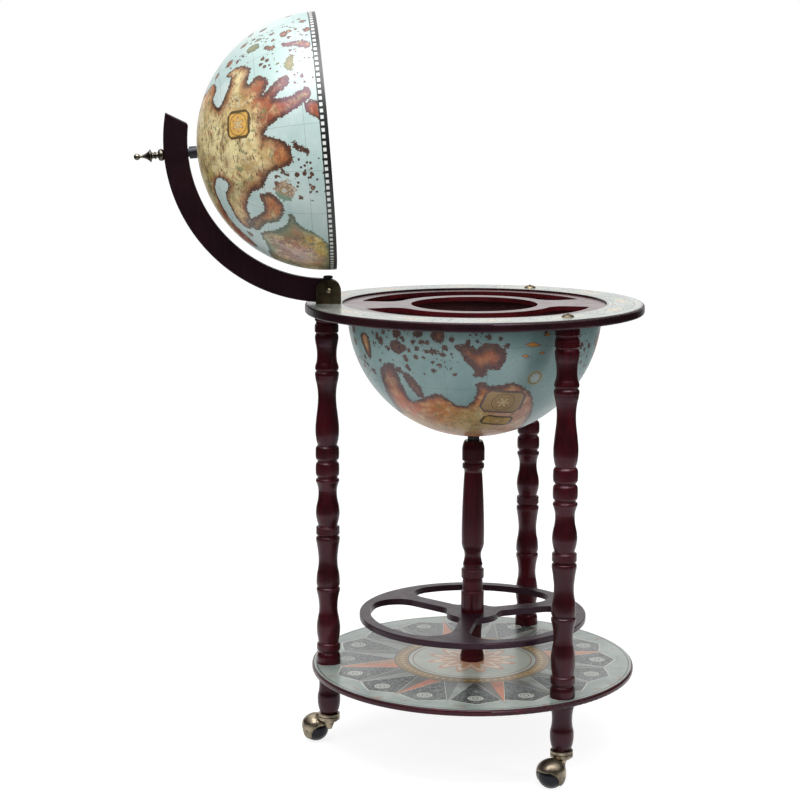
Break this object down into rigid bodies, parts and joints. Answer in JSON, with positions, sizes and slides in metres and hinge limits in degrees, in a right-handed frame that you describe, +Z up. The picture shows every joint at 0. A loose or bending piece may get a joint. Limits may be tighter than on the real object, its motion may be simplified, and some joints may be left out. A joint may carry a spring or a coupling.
{
  "type": "globe bar",
  "caption": "Floor-standing globe drinks trolley: upper half globe opens on a wooden meridian bow over a perforated table, with turned legs, bottle rack, shelf and ball casters.",
  "frame": {"origin": "on the floor, under the middle of the table ring", "axes": "+Z up through the post and the bowl; -X towards the hinge leg; the lid is shown fully open"},
  "size_m": [0.67, 0.45, 0.9864],
  "materials": {
    "dark_wood": "dark mahogany stain under satin lacquer",
    "rack_wood": "dark plum-brown lacquer",
    "insert_wood": "red-brown lacquered board",
    "table_paper": "varnished printed paper, pale grey and teal",
    "shelf_paper": "varnished printed paper with a compass rose",
    "globe_map": "printed map in teal, ochre and brown under varnish",
    "antique_brass": "antique brass plate, worn bright on edges",
    "steel": "zinc-plated steel",
    "black_plastic": "moulded black plastic",
    "rubber": "black rubber",
    "black_ball": "polished black nylon"
  },
  "bodies": {
    "stand": {"table_ring": "dark_wood", "ring_print": "table_paper", "bowl_insert": "insert_wood", "bowl_shell": "globe_map", "bowl_spacer": "black_plastic", "column": "dark_wood", "bottle_rack": "rack_wood", "column_base": "dark_wood", "tie_rod": "steel", "bowl_washer": "steel", "bowl_nut": "steel", "shelf_washer": "steel", "shelf_nut": "steel", "shelf": "dark_wood", "shelf_print": "shelf_paper", "leg_hinge": "dark_wood", "leg_front": "dark_wood", "leg_rear": "dark_wood", "foot_hinge": "dark_wood", "foot_front": "dark_wood", "foot_rear": "dark_wood", "foot_stud_hinge": "steel", "foot_stud_front": "steel", "foot_stud_rear": "steel", "cap_bolt_front": "antique_brass", "cap_bolt_rear": "antique_brass", "caster_collar_hinge": "antique_brass", "caster_collar_front": "antique_brass", "caster_collar_rear": "antique_brass", "hinge_bracket": "antique_brass", "hinge_pin": "antique_brass", "bracket_screw": "steel"},
    "bow": {"meridian_bow": "dark_wood", "bow_button": "rubber", "axle_stud": "steel", "finial": "antique_brass", "lid_spacer": "black_plastic", "lid_washer": "steel", "lid_nut": "steel"},
    "lid": {"lid_shell": "globe_map", "lid_bush": "black_plastic"},
    "caster_hinge": {"caster_stem_hinge": "steel", "caster_hood_hinge": "antique_brass", "caster_axle_hinge": "steel"},
    "ball_hinge": {"caster_ball_hinge": "black_ball"},
    "caster_front": {"caster_stem_front": "steel", "caster_hood_front": "antique_brass", "caster_axle_front": "steel"},
    "ball_front": {"caster_ball_front": "black_ball"},
    "caster_rear": {"caster_stem_rear": "steel", "caster_hood_rear": "antique_brass", "caster_axle_rear": "steel"},
    "ball_rear": {"caster_ball_rear": "black_ball"}
  },
  "joints": [
    {"name": "lid_hinge", "type": "hinge", "parent": "stand", "child": "bow", "pos_m": [-0.194, 0, 0.6255], "axis": [0, 1, 0], "range_deg": [0, 94.5]},
    {"name": "lid_spin", "type": "hinge", "parent": "bow", "child": "lid", "pos_m": [-0.19676, 0, 0.81988], "axis": [-0.9969, 0, -0.0785], "continuous": true},
    {"name": "swivel_hinge", "type": "hinge", "parent": "stand", "child": "caster_hinge", "pos_m": [-0.1965, 0, 0.03], "axis": [0, 0, 1], "continuous": true},
    {"name": "roll_hinge", "type": "hinge", "parent": "caster_hinge", "child": "ball_hinge", "pos_m": [-0.21433, 0.01606, 0.0175], "axis": [-0.6691, -0.7431, 0], "continuous": true},
    {"name": "swivel_front", "type": "hinge", "parent": "stand", "child": "caster_front", "pos_m": [0.09825, -0.17017, 0.03], "axis": [0, 0, 1], "continuous": true},
    {"name": "roll_front", "type": "hinge", "parent": "caster_front", "child": "ball_front", "pos_m": [0.08219, -0.18801, 0.0175], "axis": [0.7431, -0.6691, 0], "continuous": true},
    {"name": "swivel_rear", "type": "hinge", "parent": "stand", "child": "caster_rear", "pos_m": [0.09825, 0.17017, 0.03], "axis": [0, 0, 1], "continuous": true},
    {"name": "roll_rear", "type": "hinge", "parent": "caster_rear", "child": "ball_rear", "pos_m": [0.08811, 0.19193, 0.0175], "axis": [-0.9063, -0.4226, 0], "continuous": true}
  ]
}
